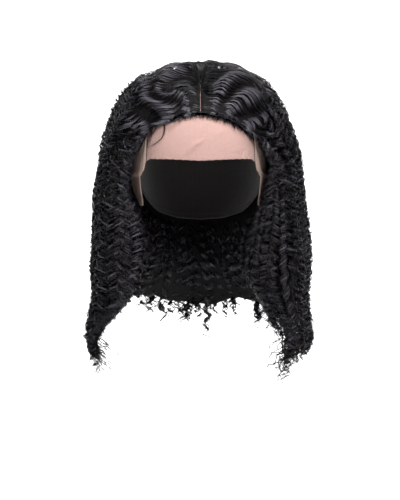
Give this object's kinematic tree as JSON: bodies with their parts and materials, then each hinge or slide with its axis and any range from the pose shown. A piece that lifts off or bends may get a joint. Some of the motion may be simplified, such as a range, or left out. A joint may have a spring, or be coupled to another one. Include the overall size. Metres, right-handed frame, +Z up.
{
  "type": "curly lace front wig",
  "caption": "Shoulder-length curly wig in its worn form: lace front, ear tabs and net cap, open below for the head, under centre-parted hair.",
  "frame": {"origin": "inside top of the cap, where the crown of the head touches it", "axes": "+Z up out of the crown, -Y the way the face looks, +X the wearer's left"},
  "size_m": [0.2718, 0.2346, 0.3826],
  "materials": {
    "hair": "satin black curled hair",
    "lace": "sheer matte lace",
    "ear_tab": "matte tan lace",
    "net": "matte black stretch net"
  },
  "bodies": {
    "root": {"lace_front": "lace", "crown_cap": "net", "ear_tab_left": "ear_tab", "ear_tab_right": "ear_tab", "hair_top_left": "hair", "hair_top_right": "hair", "hair_crown": "hair", "hair_side_left": "hair", "hair_side_right": "hair", "hair_back": "hair"}
  },
  "joints": []
}
